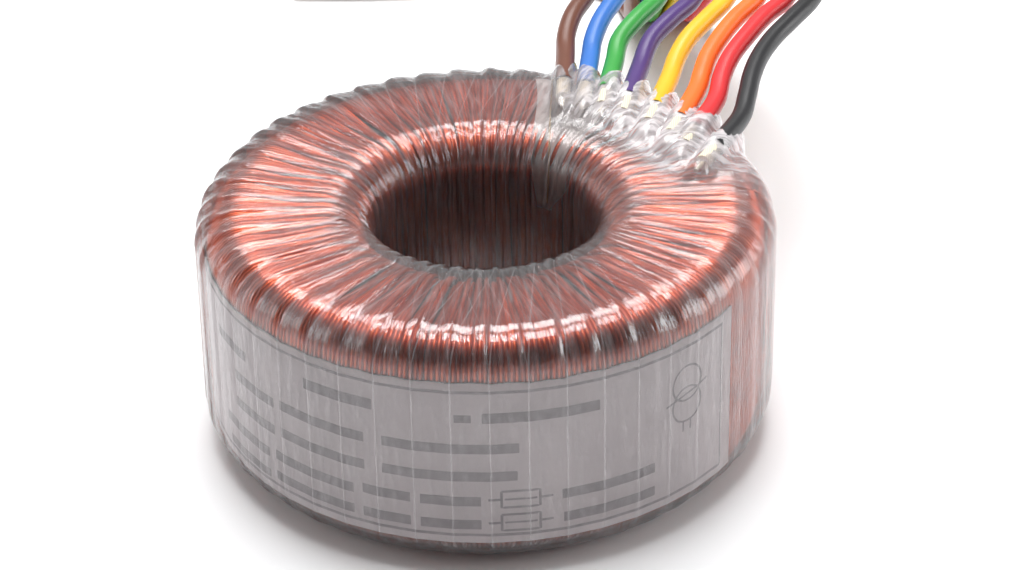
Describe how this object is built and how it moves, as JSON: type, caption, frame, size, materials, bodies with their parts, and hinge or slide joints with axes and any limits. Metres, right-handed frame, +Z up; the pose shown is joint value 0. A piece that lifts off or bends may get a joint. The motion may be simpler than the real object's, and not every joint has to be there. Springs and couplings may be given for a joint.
{
  "type": "toroidal transformer",
  "caption": "Small ring-shaped mains transformer in a clear film wrap, with a paper label round its front, an open centre hole and coloured flying leads.",
  "frame": {"origin": "on the hole's axis, at the underside that the transformer stands on", "axes": "+Z up along the hole's axis, -Y towards the middle of the label, +Y towards the side that the leads leave from"},
  "size_m": [0.074, 0.1463, 0.0326],
  "materials": {
    "core_steel": "bare strip",
    "polyester_tape": "matt",
    "enamelled_copper": "glossy enamel",
    "label_paper": "coated paper",
    "pad_film": "matt",
    "clear_film": "glossy",
    "tinned_copper": "tinned",
    "joint_sleeve": "matt",
    "lead_brown": "semi-gloss",
    "lead_blue": "semi-gloss",
    "lead_green": "semi-gloss",
    "lead_violet": "semi-gloss",
    "lead_yellow": "semi-gloss",
    "lead_orange": "semi-gloss",
    "lead_red": "semi-gloss",
    "lead_black": "semi-gloss"
  },
  "bodies": {
    "root": {"core": "core_steel", "core_tape": "polyester_tape", "primary_winding_1": "enamelled_copper", "primary_winding_2": "enamelled_copper", "barrier_tape": "polyester_tape", "secondary_winding_1": "enamelled_copper", "secondary_winding_2": "enamelled_copper", "label": "label_paper", "lead_pad": "pad_film", "film_wrap": "clear_film", "lead_brown": "lead_brown", "lead_blue": "lead_blue", "lead_green": "lead_green", "lead_violet": "lead_violet", "lead_yellow": "lead_yellow", "lead_orange": "lead_orange", "lead_red": "lead_red", "lead_black": "lead_black", "strands_brown": "tinned_copper", "strands_blue": "tinned_copper", "strands_green": "tinned_copper", "strands_violet": "tinned_copper", "strands_yellow": "tinned_copper", "strands_orange": "tinned_copper", "strands_red": "tinned_copper", "strands_black": "tinned_copper", "joint_brown": "joint_sleeve", "joint_blue": "joint_sleeve", "joint_green": "joint_sleeve", "joint_violet": "joint_sleeve", "joint_yellow": "joint_sleeve", "joint_orange": "joint_sleeve", "joint_red": "joint_sleeve", "joint_black": "joint_sleeve"}
  },
  "joints": []
}
